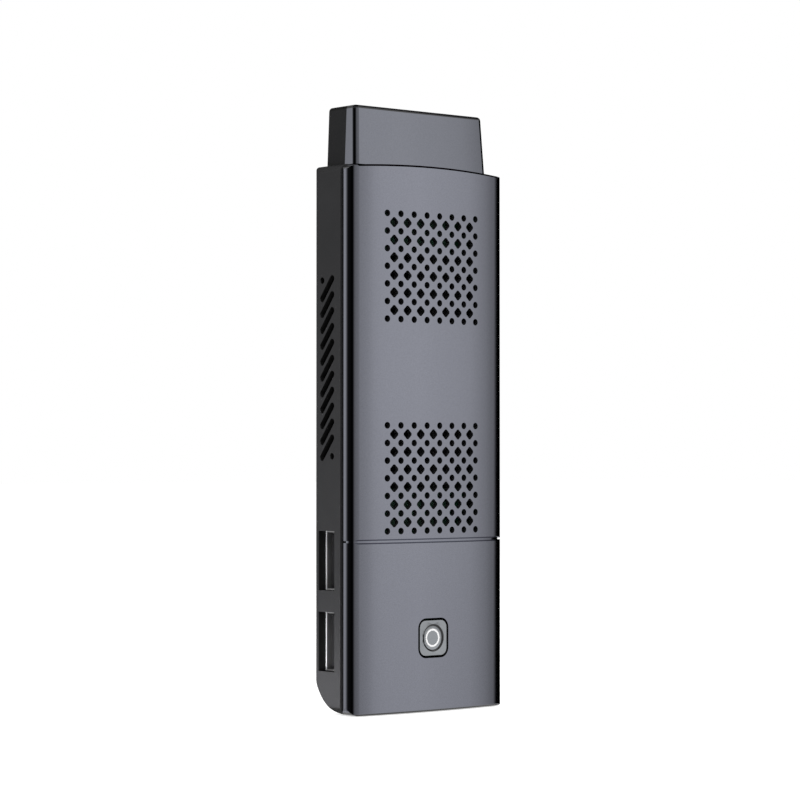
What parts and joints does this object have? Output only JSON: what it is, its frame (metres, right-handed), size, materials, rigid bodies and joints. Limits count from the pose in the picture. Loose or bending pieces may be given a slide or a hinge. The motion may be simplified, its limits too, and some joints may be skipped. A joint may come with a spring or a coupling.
{
  "type": "hdmi stick computer",
  "caption": "Stick computer with a capped HDMI plug, a crowned vented front cover, a lit square power key, slotted side walls and side ports.",
  "frame": {"origin": "middle of the HDMI plug in the plane of the body's shoulder, where the cap's base meets the body", "axes": "+Z along the plug, out of the body; -Y out of the crowned front with the power key; -X out of the side wall with the two USB-A ports"},
  "size_m": [0.045, 0.0147, 0.1352],
  "materials": {
    "housing_plastic": "fine matt texture",
    "cover_plastic": "gloss metallic gunmetal",
    "cap_gloss": "gloss metallic gunmetal",
    "cap_matte": "fine matt texture",
    "key_plastic": "gloss metallic gunmetal",
    "ring_white": "translucent white",
    "screw_steel": "zinc plated",
    "plug_metal": "nickel plated",
    "port_metal": "bright plated sheet",
    "port_plastic": "moulded black",
    "contact_gold": "gold plated",
    "board_green": "lacquered laminate",
    "soc_laminate": "laminate with a bare die",
    "chip_black": "moulded black",
    "pad_soft": "soft silicone",
    "sink_black": "black anodised",
    "inductor_grey": "pressed ferrite",
    "capacitor_tan": "moulded tan",
    "shield_tin": "tinned sheet",
    "antenna_copper": "copper foil",
    "lead_black": "smooth jacket",
    "switch_black": "moulded black",
    "switch_cream": "moulded cream",
    "led_clear": "clear resin"
  },
  "bodies": {
    "case": {"rear_housing": "housing_plastic", "grille_cover": "cover_plastic", "lower_cover": "cover_plastic", "case_screws": "screw_steel", "board_screws": "screw_steel", "heat_sink_screws": "screw_steel", "hdmi_plug_shell": "plug_metal", "usb_upper_shell": "port_metal", "usb_lower_shell": "port_metal", "micro_usb_shell": "port_metal", "card_socket_lid": "port_metal", "hdmi_plug_insulator": "port_plastic", "usb_upper_tongue": "port_plastic", "usb_lower_tongue": "port_plastic", "micro_usb_tongue": "port_plastic", "card_socket_base": "port_plastic", "audio_jack_body": "port_plastic", "hdmi_plug_contacts": "contact_gold", "usb_upper_contacts": "contact_gold", "usb_lower_contacts": "contact_gold", "micro_usb_contacts": "contact_gold", "card_socket_contacts": "contact_gold", "audio_jack_terminals": "contact_gold", "main_board": "board_green", "wifi_module": "board_green", "soc_package": "soc_laminate", "memory_chips": "chip_black", "storage_chip": "chip_black", "power_chip": "chip_black", "firmware_chip": "chip_black", "thermal_pad": "pad_soft", "heat_sink": "sink_black", "power_inductors": "inductor_grey", "capacitors": "capacitor_tan", "wifi_shield": "shield_tin", "antenna": "antenna_copper", "antenna_lead": "lead_black", "tact_switch_body": "switch_black", "power_led": "led_clear"},
    "button": {"power_button": "key_plastic", "button_light_ring": "ring_white"},
    "switch_plunger": {"tact_switch_plunger": "switch_cream"},
    "cap": {"cap_front_shell": "cap_gloss", "cap_rear_shell": "cap_matte"}
  },
  "joints": [
    {"name": "button_press", "type": "slide", "parent": "case", "child": "button", "axis": [0, 1, 0], "range_m": [0, 0.0004], "stiffness_N_per_m": 2000},
    {"name": "plunger_press", "type": "slide", "parent": "case", "child": "switch_plunger", "axis": [0, 1, 0], "range_m": [0, 0.0004]},
    {"name": "cap_pull", "type": "slide", "parent": "case", "child": "cap", "axis": [0, 0, 1], "range_m": [0, 0.02]}
  ],
  "couplings": [
    {"joint": "plunger_press", "follows": "button_press", "ratio": 1}
  ]
}
